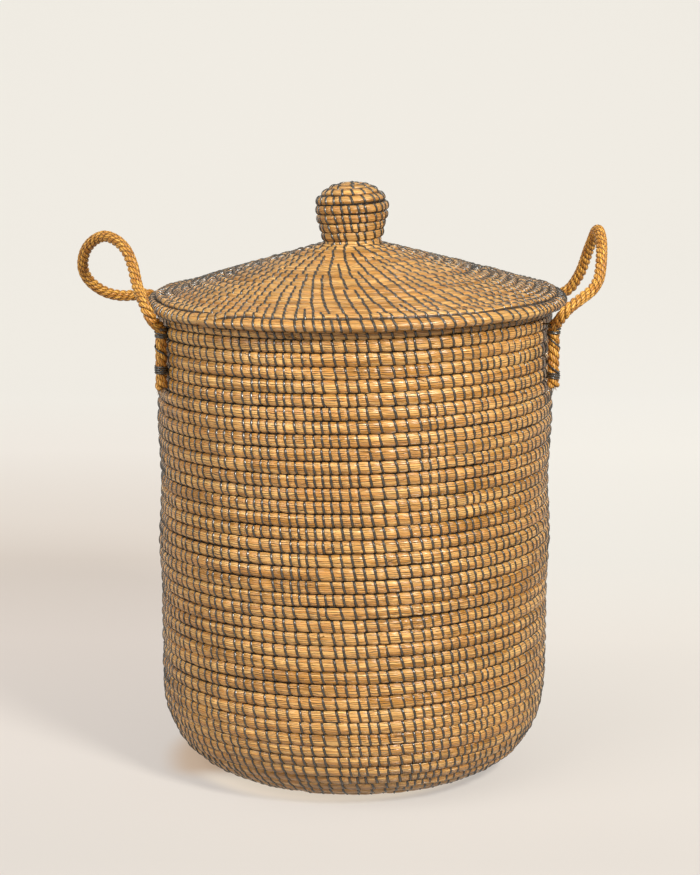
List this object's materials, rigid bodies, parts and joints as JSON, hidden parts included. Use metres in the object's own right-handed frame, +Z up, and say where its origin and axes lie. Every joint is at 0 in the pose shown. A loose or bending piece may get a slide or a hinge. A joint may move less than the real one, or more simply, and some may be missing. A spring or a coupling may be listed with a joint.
{
  "type": "laundry basket",
  "caption": "Coiled seagrass laundry basket: near-cylindrical body with a rounded heel, a shallow conical lift-off lid with a ball knob, and rope loop handles lashed to the wall.",
  "frame": {"origin": "on the floor under the middle of the base", "axes": "+Z up along the axis of the basket, +X towards the right handle seen from the front, the front faces -Y"},
  "size_m": [0.5806, 0.46, 0.65],
  "materials": {
    "seagrass": "coiled bundle of dried seagrass stems, straw to orange brown",
    "handle_rope": "twisted plant fibre rope, ochre",
    "stitch_thread": "dark grey thread with a slight gloss",
    "stuffing": "packed seagrass offcuts"
  },
  "bodies": {
    "basket": {"base_coil": "seagrass", "heel_coil": "seagrass", "wall_coil": "seagrass", "rim_coil": "seagrass", "left_front_leg": "handle_rope", "left_rear_leg": "handle_rope", "right_front_leg": "handle_rope", "right_rear_leg": "handle_rope", "left_front_upper_lashing": "stitch_thread", "left_front_lower_lashing": "stitch_thread", "left_rear_upper_lashing": "stitch_thread", "left_rear_lower_lashing": "stitch_thread", "right_front_upper_lashing": "stitch_thread", "right_front_lower_lashing": "stitch_thread", "right_rear_upper_lashing": "stitch_thread", "right_rear_lower_lashing": "stitch_thread"},
    "lid": {"lid_coil": "seagrass", "lid_edge_coil": "seagrass", "lid_seat_coil": "seagrass", "knob_neck_coil": "seagrass", "knob_coil": "seagrass", "knob_core": "stuffing"},
    "left_handle": {"left_handle_loop": "handle_rope"},
    "right_handle": {"right_handle_loop": "handle_rope"}
  },
  "joints": [
    {"name": "lid_lift", "type": "slide", "parent": "basket", "child": "lid", "axis": [0, 0, 1], "range_m": [0, 0.25]},
    {"name": "left_handle_swing", "type": "hinge", "parent": "basket", "child": "left_handle", "pos_m": [-0.21756, 0, 0.507], "axis": [0, -1, 0], "range_deg": [-4, 90]},
    {"name": "right_handle_swing", "type": "hinge", "parent": "basket", "child": "right_handle", "pos_m": [0.21756, 0, 0.507], "axis": [0, 1, 0], "range_deg": [-4, 90]}
  ]
}
